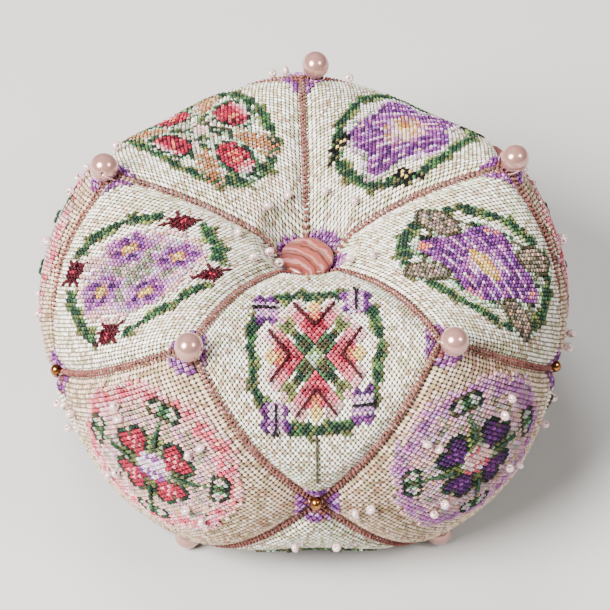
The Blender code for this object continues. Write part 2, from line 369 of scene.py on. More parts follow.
# Colours of the threads, as seen in daylight, from 0 to 255
THREAD = dict(
    pine=(18, 34, 26), forest=(34, 62, 46), leaf=(72, 112, 70), olive=(98, 104, 62), bark=(70, 66, 44),
    moss=(134, 150, 86), mint=(186, 212, 184), sage=(156, 162, 138),
    shell=(240, 194, 194), pink=(230, 134, 148), rose=(210, 88, 106), red=(160, 34, 60), wine=(72, 3, 22),
    damson=(56, 0, 14), salmon=(226, 130, 102), dusty=(138, 82, 76), blush=(226, 184, 176),
    butter=(240, 212, 136), gold=(214, 166, 84), tan=(176, 120, 76), sand=(196, 166, 144),
    mist=(228, 198, 226), haze=(204, 166, 184), lilac=(192, 134, 194), dove=(168, 104, 166),
    violet=(126, 62, 138), plum=(74, 32, 92),
    black=(6, 5, 7), stone=(124, 112, 102), white=(244, 244, 240), seed=(232, 196, 196),
)


def linear(colour):
    """A daylight colour from 0 to 255, as the renderer's linear values."""
    share = np.asarray(colour) / 255
    return np.where(share <= 0.04045, share / 12.92, ((share + 0.055) / 1.055) ** 2.4)


def between(value, low, high):
    return (value > low) & (value < high)


def turned(x, y, turns):
    """A place after so many quarter turns; a count below nought turns back."""
    for _ in range(turns % 4):
        x, y = y, -x
    return x, y


class Chart:
    """A square's pattern: the colour of each crossed thread, and its back stitches.
    x and y are counted in threads from the pattern's middle."""

    def __init__(self, x_shift=0.0, y_shift=0.0):
        self.cells = np.full((THREADS, THREADS), "", dtype="<U8")
        self.lines = []
        self.middle = np.array([THREADS / 2 + x_shift, THREADS / 2 + y_shift])
        count = np.arange(THREADS) + 0.5
        self.x, self.y = np.meshgrid(count - self.middle[0], count - self.middle[1], indexing="ij")
        self.radius = np.hypot(self.x, self.y)
        self.angle = np.arctan2(self.y, self.x)
        self.longer = np.maximum(abs(self.x), abs(self.y))
        self.shorter = np.minimum(abs(self.x), abs(self.y))

    def fill(self, where, names, seed=0):
        """Works cells in threads picked at random from their names; a - leaves the cloth bare."""
        names = [name.strip("-") for name in names.split()]
        picked = np.random.default_rng(seed).choice(names, self.cells.shape)
        self.cells[where] = picked[where]

    def fill_rows(self, *rows):
        """Fills in turn: each row says where, in which threads and, where they mix, the seed."""
        for row in rows:
            self.fill(*row)

    def line(self, x0, y0, x1, y1, colour):
        self.lines.append((self.middle + (x0, y0), self.middle + (x1, y1), colour))

    def limb(self, x, y, turns, start, end, colour):
        """A back-stitched line of a motif that is turned and has its middle at x, y."""
        start, end = turned(*start, turns), turned(*end, turns)
        self.line(x + start[0], y + start[1], x + end[0], y + end[1], colour)

    def motif(self, x, y, turns, rows, **threads):
        """Works a small motif, in rows of letters, with its middle at x, y."""
        letters = np.rot90(np.array([list(row) for row in rows]), -turns)
        first = np.round(self.middle + (x, y) - np.array(letters.shape) / 2).astype(int)
        for (row, column), letter in np.ndenumerate(letters):
            if letter in threads:
                self.cells[first[0] + row, first[1] + column] = threads[letter]

    def four(self, draw, x, y, *values, **threads):
        """Draws something four times, a quarter turn on each time."""
        for turns in range(4):
            draw(self, *turned(x, y, turns), turns, *values, **threads)


def leafy_wreath(chart, radius, leaves, pull=0.8, square=0.4):
    """A ring of small leaves that lean in and out; pull lengthens it between two corners, and
    square flattens it towards the four corners."""
    lean = np.sin(leaves * chart.angle)
    band = chart.radius - radius + pull * np.sin(2 * chart.angle) - 0.35 * lean
    band -= square * np.cos(4 * chart.angle)
    chart.fill_rows(
        (abs(band) < 1.6, "leaf leaf olive forest", leaves),
        (between(band, 0.9, 2.2) & (lean > 0.35), "olive"),
        (between(band, -2.1, -0.9) & (lean < -0.45), "moss"),
        ((abs(band) < 0.85) & (np.sin(2 * leaves * chart.angle + 1.0) > -0.1), "forest"),
        ((abs(band) > 0.9) & (abs(np.sin(leaves * chart.angle / 2 + 0.4)) > 0.95), "-"),
    )


def plain_ring(chart, radius, dark, middle, light):
    """A ring in three shades of one colour, with a ragged rim."""
    band = abs(chart.radius - radius - 0.5 * np.sin(9 * chart.angle))
    chart.fill_rows(
        (band < 2.7, f"{light} {light} {middle} blush -", 3),
        (band < 1.4, f"{middle} {middle} {light} {light} {dark}", 4),
        ((band < 0.8) & (np.sin(17 * chart.angle) > 0.5), dark),
    )


TREFOIL = """
...kkk..
..kw.wk.
.kkgw.k.
kwgkgk..
k.wgk...
kw.k.g..
.kk...g.
.......g
""".split()
LADYBIRD = """
.www.
wwrww
wwrww
wwwww
.www.
""".split()
BLOOM = """
.ddd.ddd.
dcccdcccd
dccacaccd
dcccacccd
.dcacacd.
..dcccd..
...ccc...
""".split()
BEE = """
k...k...
.k.kb.k.
..kbgb..
...gbgk.
....bgkk
.....kk.
""".split()
SPRIG = """
..t.t..
.s.t.s.
s.ttt.s
tsttsst
.ttsts.
s.stt.t
.tttst.
..sts..
.tsttt.
..tst..
...t...
...t...
""".split()
WING = """
..mkkkkkm..
.mkslslsskm
.kslskslslk
kskslsskssk
kslsksslslk
.kslslslssk
.mkslslsskm
..mkkkkkm..
""".split()


def tulip(chart, turns):
    """A tulip that points to a corner: nested bands either side of its two back-stitched lines."""
    x, y = turned(chart.x, chart.y, -turns)
    inner, outer = np.minimum(x, y), np.maximum(x, y)
    below = between(inner, 2.4, 4.6) & (outer < 12.6)
    above = (inner > 4.6) & (outer < 12.6)
    chart.fill_rows(
        (below, "rose rose red", 3),
        (below & (outer > 7.6), "pink"),
        (below & (outer > 10.6), "shell"),
        (below & (outer < 5.6) & (inner > 3.6), "red"),
        (above & (inner < 5.6), "pink"),
        (above & (inner < 6.6) & (outer > 9.6), "shell"),
        (above & (outer < 8.6) & (inner < 6.6), "rose"),
        ((inner > 4.6) & (outer < 7.6) & (inner + outer > 11.5), "salmon"),
        ((inner > 6.6) & (outer < 9.6), "butter"),
    )
    for far in ((13.0, 5.0), (5.0, 13.0)):
        chart.limb(0.0, 0.0, turns, (5.0, 5.0), far, "damson")


def butterfly(chart, x, y, turns):
    """Four dark wing tips about a black body that lies on a diagonal."""
    px, py = turned(chart.x - x, chart.y - y, -turns)
    along, aside = abs(px + py) * 0.71, abs(px - py) * 0.71
    wing = (along < 3.1) & (aside < 4.2) & (along + aside < 6.2)
    chart.fill_rows(
        (wing, "mist mist lilac", 1),
        (wing & (aside > 2.2), "violet violet plum", 2),
        (wing & (aside > 3.3) & (along < 0.8), "-"),
    )
    for end in ((2.0, 2.0), (-3.2, -2.1), (-2.1, -3.2)):
        chart.limb(x, y, turns, (-2.0, -2.0), end, "black")


def tulip_square():
    """Four tulips round a cross of stems, with butterflies on the wreath."""
    chart = Chart()
    leafy_wreath(chart, 17.2, 11, 1.2, 0.7)
    along, aside = chart.longer, chart.shorter
    chart.fill_rows(
        (between(along, 3.0, 6.0) & (aside < 2.1), "leaf"),
        ((along < 9.0) & (aside < 1.1), "bark"),
        (between(along, 5.0, 7.0) & (aside < 1.1), "forest"),
        (between(along, 8.0, 12.6) & (abs(aside - (along - 8.0) * 0.6) < 1.1), "moss"),
        (between(along, 8.6, 10.6) & (aside < 1.1), "olive"),
        (between(along, 10.6, 12.6) & (aside < 1.1), "shell"),
        (along < 3.1, "forest bark olive", 3),
        (along < 2.1, "mint sage moss", 4),
        (along < 1.1, "mint"),
    )
    for turns in range(4):
        tulip(chart, turns)
    chart.four(butterfly, -16.9, -1.2)
    chart.line(12.0, 12.0, 20.0, 20.0, "bark")
    chart.line(-17.0, -18.8, -13.6, -15.2, "tan")
    return chart


def pansy(chart, x, y, _):
    """A small round flower, lilac with dark marks about a gold eye."""
    away = np.hypot(chart.x - x, chart.y - y)
    swing = np.arctan2(chart.y - y, chart.x - x)
    petal = 5.3 + 0.8 * np.cos(5 * swing)
    chart.fill_rows(
        (away < petal, "lilac lilac violet dove dove", 5),
        ((away < petal - 0.8) & (np.cos(5 * swing + 1.2) > 0.1), "violet dove violet", 6),
        (between(away, petal - 1.4, petal) & (np.cos(5 * swing) > 0.0), "mist lilac", 7),
        (between(away, 1.6, 3.3) & (abs(np.cos(2 * swing)) < 0.5), "plum plum violet", 8),
        (away < 1.8, "gold gold tan", 9),
        (away < 0.8, "butter"),
    )


def ladybird(chart, x, y, turns):
    """A dark red beetle with six short legs, in a gap of the wreath."""
    chart.fill((np.hypot(chart.x - x, chart.y - y) < 4.4) & (chart.radius > 14.8), "-")
    chart.motif(x, y, turns, LADYBIRD, w="wine", r="red")
    for side in (-1, 1):
        for reach in (-2.6, 0.0, 2.6):
            chart.limb(x, y, turns, (reach * 0.5, side * 1.6), (reach * 1.15, side * 3.3), "wine")


def pansy_square():
    """Four pansies in a wreath that holds four ladybirds."""
    chart = Chart()
    leafy_wreath(chart, 18.0, 13)
    checked = (np.floor(chart.x) + np.floor(chart.y)) % 2 > 0
    chart.fill_rows(
        (chart.radius < 12.8, "mist lilac haze blush mist", 1),
        (between(chart.radius, 12.4, 14.8), "shell - blush", 2),
        ((chart.shorter < 1.6) & (chart.radius < 9.0), "stone stone sage haze", 3),
        ((chart.shorter < 2.6) & (chart.radius < 8.6) & checked, "sage"),
    )
    chart.four(pansy, 6.2, 6.2)
    chart.four(ladybird, -17.3, -1.8)
    return chart


def great_flower(chart, petals, turn, rim, size, depth):
    """One large flower: striped petals, dark at their edges, round a pale ring and a gold heart."""
    swing = chart.angle - turn
    edge = size + depth * np.cos(petals * swing)
    inside = chart.radius < edge
    heart = np.hypot(chart.x * 0.4, chart.y)
    row = np.cos(2 * math.pi / 3 * (abs(chart.y) - 1.5))
    broken = np.sin(0.8 * chart.x + 1.3 * abs(chart.y)) > -0.75
    chart.fill_rows(
        (chart.radius < edge + 1.8, f"{rim} {rim} white sage", petals),
        (inside, "violet violet violet dove plum", 5),
        (inside & (row > 0.5) & broken, "lilac mist mist lilac shell", 6),
        (inside & (abs(np.sin(petals * swing / 2)) < 0.1), "plum violet", 7),
        (inside & (chart.radius > edge - 1.2), "plum violet violet lilac", 8),
        (chart.radius < 4.0, "mist lilac shell", 9),
        (heart < 2.0, "gold"),
        (heart < 1.2, "butter butter shell", 9),
    )


def moth(chart, x, y, turns):
    """A grey moth that lies across the wreath, with two feelers."""
    chart.motif(x, y, turns + 1, WING, k="bark", s="stone", l="sand", m="mint")
    for side in (-1.0, 1.0):
        chart.limb(x, y, turns, (1.6, side * 3.4), (4.2, side * 5.4), "bark")


def violet_square():
    """One great violet flower, with four grey moths and a wreath."""
    chart = Chart()
    leafy_wreath(chart, 17.8, 12)
    great_flower(chart, 4, math.pi / 4, "mint", 12.0, 1.6)
    spread = chart.longer - chart.shorter
    chart.fill_rows(
        ((spread < 2.6) & between(chart.radius, 11.4, 13.6), "salmon pink dove", 1),
        (between(spread, 3.2, 7.0) & between(chart.radius, 12.6, 14.4), "pine forest leaf mint", 2),
    )
    chart.four(moth, -15.4, 0.0)
    return chart


def bee_square():
    """One purple flower with a pink and yellow heart, and three bees."""
    chart = Chart(0.6, -2.4)
    leafy_wreath(chart, 18.0, 12)
    great_flower(chart, 5, 0.4, "mist", 13.2, 2.0)
    chart.fill(chart.radius < 6.0, "shell mist lilac blush tan dove", 8)
    chart.fill(chart.radius < 3.6, "gold butter tan shell mist", 9)
    for x, y, turns in ((-18.0, 0.0, 0), (1.0, -18.0, 3), (18.5, 1.0, 1)):
        chart.motif(x, y, turns, BEE, k="black", b="black", g="butter")
    return chart


def rose(chart, x, y, turns):
    """A full rose in dark leaves, palest at its tip away from the middle."""
    away = np.hypot(chart.x - x, chart.y - y)
    outward = (chart.x * x + chart.y * y) / math.hypot(x, y) - math.hypot(x, y)
    chart.fill_rows(
        ((away < 6.4) & (outward > -2.0), "forest leaf mint mint", turns),
        (away < 5.2, "forest forest pine mint", turns + 4),
        (away < 4.6, "rose red red red red wine", turns + 8),
        ((away < 4.4) & (outward > 1.6), "pink rose rose shell", turns + 12),
        ((away < 4.6) & (outward > 3.0), "shell shell mist", turns + 16),
        ((away < 1.8) & (outward < 1.2), "salmon red", 1),
    )


def rose_square():
    """Four red roses with tan sprigs between them."""
    chart = Chart()
    leafy_wreath(chart, 18.0, 12)
    chart.fill(chart.radius < 13.0, "mint sage sand - -", 5)
    chart.four(rose, 8.0, 8.0)
    chart.four(Chart.motif, -14.5, 0.0, SPRIG, t="tan", s="sand")
    chart.fill_rows(
        ((chart.shorter < 2.1) & (chart.radius < 8.0), "forest bark mint shell -", 2),
        ((chart.shorter < 1.1) & (chart.radius < 8.5), "forest olive sage", 3),
        (chart.radius < 2.1, "shell"),
    )
    return chart


BeltColours = namedtuple("BeltColours", "ground ring flower heart")
LILAC_BELT = BeltColours(
    "haze haze blush sand mist sage", ("dove", "lilac", "haze"), ("plum", "violet"), ("shell", "rose")
)
PINK_BELT = BeltColours(
    "blush blush shell sand haze sage", ("rose", "pink", "shell"), ("red", "pink"), ("mist", "violet")
)
BELT_SHIFT = -4.0
CORNER_PATCH = 7.5
POLE_PATCH = 6.5
POLE_PATCHES = {("top", 1): 8.8, ("top", 2): 9.9, ("top", 3): 9.2}


def trefoil_stem(chart, x, y, _):
    chart.line(x, y, x * 0.55, y * 0.55, "forest")


def belt_square(colours):
    """A plain ring round four trefoils and four small flowers."""
    chart = Chart(BELT_SHIFT, BELT_SHIFT)
    radius, spread = chart.radius, chart.longer - chart.shorter
    chart.fill(radius < 15.6, colours.ground, 6)
    plain_ring(chart, 17.1, *colours.ring)
    chart.four(Chart.motif, -9.7, -9.7, TREFOIL, k="pine", g="leaf", w="mint")
    chart.four(trefoil_stem, -7.5, -7.5)
    chart.fill((spread < 3.1) & between(radius, 3.0, 8.6), "olive sage moss", 7)
    chart.fill((spread < 1.1) & between(radius, 4.6, 8.0), "olive forest", 8)
    petal, mark = colours.flower
    chart.four(Chart.motif, -6.3, 0.0, BLOOM, d="pine", c=petal, a=mark)
    pale, deep = colours.heart
    chart.fill_rows(
        (chart.cells == "pine", "pine pine forest bark", 11),
        (radius < 3.6, f"{pale} {pale} white {deep}", 9),
        (radius < 1.3, f"{deep} {pale}", 10),
    )
    return chart


def corner_patches(chart, group, pole_patch):
    """Small worked corners, where squares meet under pearls, beads and buttons."""
    count = np.arange(THREADS) + 0.5
    a, b = np.meshgrid(count, count, indexing="ij")
    shades = {
        "top": ("lilac", "violet", "plum", "violet"),
        "belt": ("lilac", "plum", "lilac", "violet"),
        "bottom": ("lilac", "violet", "dusty", "violet"),
    }[group]
    for (right, high), shade in zip(((0, 0), (1, 0), (1, 1), (0, 1)), shades):
        x, y = abs(THREADS * right - a), abs(THREADS * high - b)
        at_pole = right == high == 0
        away = np.hypot(x, y) if at_pole else x + y
        size = pole_patch if at_pole else CORNER_PATCH
        inside = np.minimum(x, y) > 1.0
        chart.fill((away < size) & inside, f"violet {shade} lilac", 1)
        chart.fill((away < size - 2.5) & inside, f"{shade} {shade} dusty", 2)


def charts():
    """Every square's chart. The squares that the photo hides repeat those that it shows."""
    made = {}
    for group, designs in (
        ("top", (tulip_square, violet_square, bee_square, rose_square, pansy_square)),
        ("bottom", (violet_square, tulip_square, pansy_square, rose_square, bee_square)),
    ):
        for k, design in enumerate(designs):
            made[group, k] = design()
    for k in range(5):
        made["belt", k] = belt_square(LILAC_BELT if k in (0, 2) else PINK_BELT)
    for key, chart in made.items():
        corner_patches(chart, key[0], POLE_PATCHES.get(key, POLE_PATCH))
    return made


# Threads and stitches
Form = namedtuple("Form", "along across up faces")


def triangles(bm):
    """A bmesh as its corners and the corners of each triangle; it is freed."""
    bmesh.ops.triangulate(bm, faces=bm.faces)
    bm.verts.index_update()
    corners = np.array([vert.co for vert in bm.verts])
    faces = np.array([[vert.index for vert in face.verts] for face in bm.faces])
    bm.free()
    return corners, faces


def strand_form(sides, rings):
    """A thread's form: each corner's share of the length, its place across and up, and the faces."""
    bm = bmesh.new()
    bmesh.ops.create_uvsphere(bm, u_segments=sides, v_segments=rings + 1, radius=1.0)
    corners, faces = triangles(bm)
    ring = np.hypot(corners[:, 0], corners[:, 1])
    ring[ring < 0.01] = 1.0
    return Form((corners[:, 2] + 1) / 2, corners[:, 0] / ring, corners[:, 1] / ring, faces)


LEG_FORM = strand_form(4, 2)
LINE_FORM = strand_form(5, 2)
SEAM_FORM = strand_form(6, 4)


class Work:
    """Stitches gathered for one piece."""

    def __init__(self):
        self.rows = []
        self.count = 0

    def add(self, faces, points, colours, strands):
        """points: one row of corners a stitch, in millimetres; colours: one a stitch."""
        stitches, corners = points.shape[:2]
        starts = self.count + np.arange(stitches) * corners
        self.rows.append((
            points.reshape(-1, 3), (faces[None] + starts[:, None, None]).reshape(-1, 3),
            np.repeat(colours, corners, axis=0), strands.reshape(-1, 3),
        ))
        self.count += stitches * corners

    def piece(self, name, material, slot="cloth"):
        """Joins the stitches into one mesh, with each corner's colour and place on its thread."""
        points, faces, colours, strands = [np.concatenate(column) for column in zip(*self.rows)]
        points[:, 2] = np.maximum(points[:, 2], FLOOR + THREAD_CLEARANCE)
        mesh = bpy.data.meshes.new(name)
        mesh.vertices.add(len(points))
        mesh.vertices.foreach_set("co", world(points).ravel())
        mesh.loops.add(faces.size)
        mesh.loops.foreach_set("vertex_index", faces.ravel())
        mesh.polygons.add(len(faces))
        mesh.polygons.foreach_set("loop_start", np.arange(0, faces.size, 3))
        mesh.update(calc_edges=True)
        colour = mesh.attributes.new("shade_here", "FLOAT_COLOR", "POINT")
        colour.data.foreach_set("color", np.column_stack([colours, np.ones(len(colours))]).ravel())
        strand = mesh.attributes.new("strand", "FLOAT_VECTOR", "POINT")
        strand.data.foreach_set("vector", strands.ravel())
        finished(mesh, material)


def mesh_of(bm, name):
    """A bmesh as a mesh, its faces outward; the bmesh is freed."""
    bmesh.ops.recalc_face_normals(bm, faces=bm.faces)
    mesh = bpy.data.meshes.new(name)
    bm.to_mesh(mesh)
    bm.free()
    return mesh


def new_object(name, data):
    made = bpy.data.objects.new(name, data)
    bpy.context.scene.collection.objects.link(made)
    return made


def finished(mesh, material):
    """Shades a mesh smooth, and makes it a piece that rides on the ball."""
    mesh.validate()
    mesh.shade_smooth()
    mesh.materials.append(material)
    piece = new_object(mesh.name, mesh)
    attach(piece, "root")
    return piece


def run_between(form, starts, ends):
    """Each thread's corners, along the straight way from its start to its end."""
    return starts[:, None] * (1 - form.along)[None, :, None] + ends[:, None] * form.along[None, :, None]


def strand_places(form, lengths, dice):
    """What the thread's material reads: each corner's place across, up and along its thread."""
    shape = len(lengths), len(form.along)
    return np.stack([
        np.broadcast_to(form.across, shape),
        np.broadcast_to(form.up, shape),
        lengths[:, None] * form.along[None] + dice.uniform(0, 9, len(lengths))[:, None],
    ], axis=-1)


def sew(work, square, form, starts, ends, laid, colours, dice):
    """Lays threads on a square's cloth between spots that are counted in threads."""
    count = len(starts)
    starts = starts + dice.normal(0.0, NEEDLE_STRAY, starts.shape)
    ends = ends + dice.normal(0.0, NEEDLE_STRAY, ends.shape)
    way = unit(ends - starts)
    aside = np.stack([-way[:, 1], way[:, 0]], axis=1) / PITCH
    wide = laid.width * dice.uniform(*THREAD_WIDTHS, count)
    spots = run_between(form, starts, ends)
    spots += aside[:, None] * (form.across[None] * wide[:, None])[..., None]
    arch = 1 - abs(2 * form.along - 1) ** 4
    rise = laid.rise * dice.uniform(*THREAD_RISES, count)
    sink = np.broadcast_to(laid.sink, count)[:, None]
    level = -sink + (rise[:, None] + sink) * arch[None] + form.up[None] * laid.height
    points, _ = square.over(spots.reshape(-1, 2), level.ravel())
    strands = strand_places(form, np.linalg.norm(ends - starts, axis=1) * PITCH, dice)
    colours = colours * dice.uniform(*THREAD_SHADES, (count, 1))
    work.add(form.faces, points.reshape(strands.shape), colours, strands)


def lay_over(work, starts, ends, out, rise, thick, colours, dice):
    """Threads that arch from point to point, a rise in millimetres out of the cloth."""
    form = SEAM_FORM
    rise = rise * dice.uniform(*SEAM_RISES, len(starts))
    arch = (1 - (2 * form.along - 1) ** 2) ** ARCH_POWER
    points = run_between(form, starts, ends) + out[:, None] * (rise[:, None] * arch[None])[..., None]
    aside = unit(np.cross(out, ends - starts))
    points = (
        points
        + aside[:, None] * (thick * form.across)[None, :, None]
        + out[:, None] * (thick * FLATTENED * form.up)[None, :, None]
    )
    strands = strand_places(form, np.linalg.norm(ends - starts, axis=1), dice)
    colours = colours * dice.uniform(*SEAM_SHADES, (len(starts), 1))
    work.add(form.faces, points, colours, strands)


def embroider(key, square, chart, material):
    """All the stitches of one square."""
    dice = np.random.default_rng(["top", "belt", "bottom"].index(key[0]) * 10 + key[1])
    work = Work()
    cells = np.argwhere(chart.cells != "").astype(float)
    colours = np.array([linear(THREAD[name]) for name in chart.cells[chart.cells != ""]])
    colours = colours * dice.normal(1.0, CROSS_SHADES, (len(cells), 1))
    colours = colours * dice.normal(1.0, CROSS_TINTS, colours.shape)
    colours = colours.clip(0.0, 1.0)
    for first, second, leg in (((0, 0), (1, 1), LOWER_LEG), ((1, 0), (0, 1), UPPER_LEG)):
        sew(work, square, LEG_FORM, cells + first, cells + second, leg, colours, dice)
    if chart.lines:
        starts, ends, shades = back_stitches(chart.lines)
        middles = np.floor((starts + ends) / 2).astype(int)
        bare = chart.cells[middles[:, 0], middles[:, 1]] == ""
        rise = np.where(bare, BARE_RISE, LINE_RISE)
        laid = Laid(LINE_WIDTH, LINE_WIDTH, rise, -rise / 2)
        sew(work, square, LINE_FORM, starts, ends, laid, shades, dice)
    work.piece(f"stitches_{key[0]}_{key[1] + 1}", material)


def back_stitches(lines):
    """Lines cut into stitches about two threads long."""
    starts, ends, shades = [], [], []
    for start, end, colour in lines:
        count = max(1, round(float(np.linalg.norm(end - start)) / 2))
        for k in range(count):
            starts.append(start + (end - start) * (k - 0.12) / count)
            ends.append(start + (end - start) * (k + 1.12) / count)
            shades.append(linear(THREAD[colour]))
    return np.array(starts), np.array(ends), np.array(shades)


def seams():
    """Each seam as its two squares' sides: (group, square, side, square, side, reversed)."""
    found = []
    for k in range(5):
        n = (k + 1) % 5
        before = (k - 1) % 5
        found += [
            ("top", ("top", k), 0, ("top", before), 3, False),
            ("bottom", ("bottom", k), 0, ("bottom", before), 3, False),
            ("upper", ("top", k), 1, ("belt", before), 3, False),
            ("upper", ("top", k), 2, ("belt", k), 0, False),
            ("lower", ("bottom", k), 1, ("belt", before), 2, True),
            ("lower", ("bottom", n), 2, ("belt", n), 1, True),
        ]
    return found


def whip_seam(work, row, dice):
    """The sewn seam of two squares: a row of back stitches on each, whipped together."""
    _, first, first_side, second, second_side, flipped = row
    one, two = SQUARES[first], SQUARES[second]
    t = (np.arange(SEAM_STITCHES) + 0.5) / SEAM_STITCHES
    half = 0.5 / SEAM_STITCHES
    shades = np.tile(linear(THREAD["dusty"]), (SEAM_STITCHES, 1))
    for square, side, places in ((one, first_side, t), (two, second_side, 1 - t if flipped else t)):
        sew(work, square, LINE_FORM, square.beside(side, places - half, SEAM_INSET),
            square.beside(side, places + half, SEAM_INSET), SEAM_LINE, shades, dice)
    other = t + half / 2
    other = 1 - other if flipped else other
    low, out_low = one.over(one.beside(first_side, t - half / 2, SEAM_INSET), -WHIP_SINK)
    high, out_high = two.over(two.beside(second_side, other, SEAM_INSET), -WHIP_SINK)
    lay_over(work, low, high, unit(out_low + out_high), WHIP_RISE, WHIP_THICK, shades, dice)


def all_seams(material):
    dice = np.random.default_rng(7)
    for group in ("top", "upper", "lower", "bottom"):
        work = Work()
        for row in seams():
            if row[0] == group:
                whip_seam(work, row, dice)
        work.piece(f"seams_{group}", material)


# The cloth
def stuffed_cloth(material):
    """The fifteen squares as one closed, stuffed skin, with each thread crossing raised."""
    dice = np.random.default_rng(3)
    bm = bmesh.new()
    layer = bm.loops.layers.uv.new("threads")

    def faces_here():
        """The faces of the square in hand: those made before have tagged corners."""
        return [face for face in bm.faces if not face.verts[0].tag]

    for number, square in enumerate(SQUARES.values()):
        bmesh.ops.create_grid(bm, x_segments=THREADS, y_segments=THREADS, size=0.5)
        bmesh.ops.poke(bm, faces=faces_here(), center_mode="MEAN")
        shift = Vector((number % 5, number // 5)) * SHEET_STEP
        for face in faces_here():
            for loop in face.loops:
                loop[layer].uv = Vector((loop.vert.co.x + 0.5, loop.vert.co.y + 0.5)) * THREADS + shift
        verts = [vert for vert in bm.verts if not vert.tag]
        spots = np.array([(vert.co.x + 0.5, vert.co.y + 0.5) for vert in verts]) * THREADS
        rim = (spots.min(axis=1) < NEAR) | (spots.max(axis=1) > THREADS - NEAR)
        crossing = abs(spots[:, 0] % 1.0 - 0.5) < NEAR
        height = np.where(crossing, PILLOW, -HOLE_DEPTH)
        height = height * dice.uniform(*WEAVE_HEIGHTS, len(spots))
        height[rim] = 0.0
        astray = dice.normal(0.0, UNEVEN, spots.shape)
        astray[rim] = 0.0
        points, _ = square.over(spots + astray, height)
        points[rim] = square.cloth(spots[rim, 0] / THREADS, spots[rim, 1] / THREADS)
        for vert, point in zip(verts, world(points)):
            vert.co = point
            vert.tag = True
    bmesh.ops.remove_doubles(bm, verts=bm.verts, dist=WELD * MM)
    piece = finished(mesh_of(bm, "stuffed_cloth"), material)
    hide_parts("filled_ball")


# Pearls, beads and buttons
def spun(profile, steps, closed):
    """A bmesh of an outline of (radius, height) points, spun about Z."""
    bm = bmesh.new()
    ring = [bm.verts.new((r, 0.0, z)) for r, z in profile]
    edges = [bm.edges.new(pair) for pair in zip(ring, ring[1:] + ring[:1] if closed else ring[1:])]
    bmesh.ops.spin(bm, geom=ring + edges, cent=(0, 0, 0), axis=(0, 0, 1), angle=2 * math.pi,
                   steps=steps, use_merge=True)
    bmesh.ops.remove_doubles(bm, verts=bm.verts, dist=SPUN_WELD)
    return bm


def bead(form):
    """A bead with a thread hole along Z, its middle at the origin."""
    top = math.acos(form.hole / form.radius)
    rim = [
        (form.radius * math.cos(a), form.half_height * math.sin(a) / math.sin(top))
        for a in np.linspace(top, -top, form.arc_points)
    ]
    return spun(rim + [(form.hole, 0.0)], form.steps, closed=True)


def level_way(row, tilt):
    """The way round the ball at a bead's row, tilted up by so many degrees."""
    turn = math.radians(row.azimuth)
    round_way = np.array([math.cos(turn), math.sin(turn), 0.0])
    upward = np.cross(unit(place(row)), round_way)
    lean = math.radians(tilt)
    return round_way * math.cos(lean) + upward * math.sin(lean)


def middle_of(node):
    low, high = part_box(node)
    return (Vector(low) + Vector(high)) / 2


def sewn_bead(node, row, form, material, work, dice):
    """A pearl or bead in a node's place, and the thread that holds it."""
    mesh = mesh_of(bead(form), node.replace("pearl", "sewn_pearl").replace("gold", "sewn_gold"))
    axis = level_way(row, dice.uniform(-25, 25))
    turn = Vector(axis).to_track_quat("Z", "X").to_matrix().to_4x4()
    mesh.transform(Matrix.Translation(middle_of(node)) @ turn @ Matrix.Scale(MM, 4))
    piece = finished(mesh, material)
    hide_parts(node)
    middle = place(row)
    inward = -unit(middle)
    # On both sides the thread comes up out of the cloth and goes in at the bead's hole
    for side in (-1, 1):
        start = middle + inward * (form.radius + PEARL_FOOT_DEPTH) + axis * side * form.radius * PEARL_FOOT
        end = middle + axis * side * form.half_height * HOLE_SHARE
        rise = 0.12 * form.radius + 0.2
        lay_over(work, start[None], end[None], (axis * side)[None], rise, PEARL_HOLD,
                 linear(THREAD["seed"])[None], dice)


# Where small beads are sewn, in threads from a square's middle
BELT_BEADS = (
    (-15.0, -4.2), (-18.7, -4.2), (7.9, -4.2), (11.6, -4.2), (17.0, -17.8),
    (-3.2, -15.6), (-3.2, -19.0), (-4.2, 8.0), (-4.8, 12.4), (20.4, -19.4),
)
BACK_BEADS = {2: ((-22.5, -18.0), (-22.4, -14.4)), 3: ((-11.7, -22.2),)}
TOP_BEADS = {
    1: ((-11.0, -20.2), (-15.0, -22.5)),
    2: ((-20.0, -12.0), (-12.0, -20.0), (-12.5, 22.8)),
    3: ((-19.0, -14.0), (-12.5, -20.5), (-10.5, 22.0)),
    4: ((-10.2, -19.8), (-20.0, -12.2), (-18.2, -19.5), (-22.0, -18.0)),
}
BOTTOM_BEADS = ((20.0, 13.0), (13.0, 20.0))


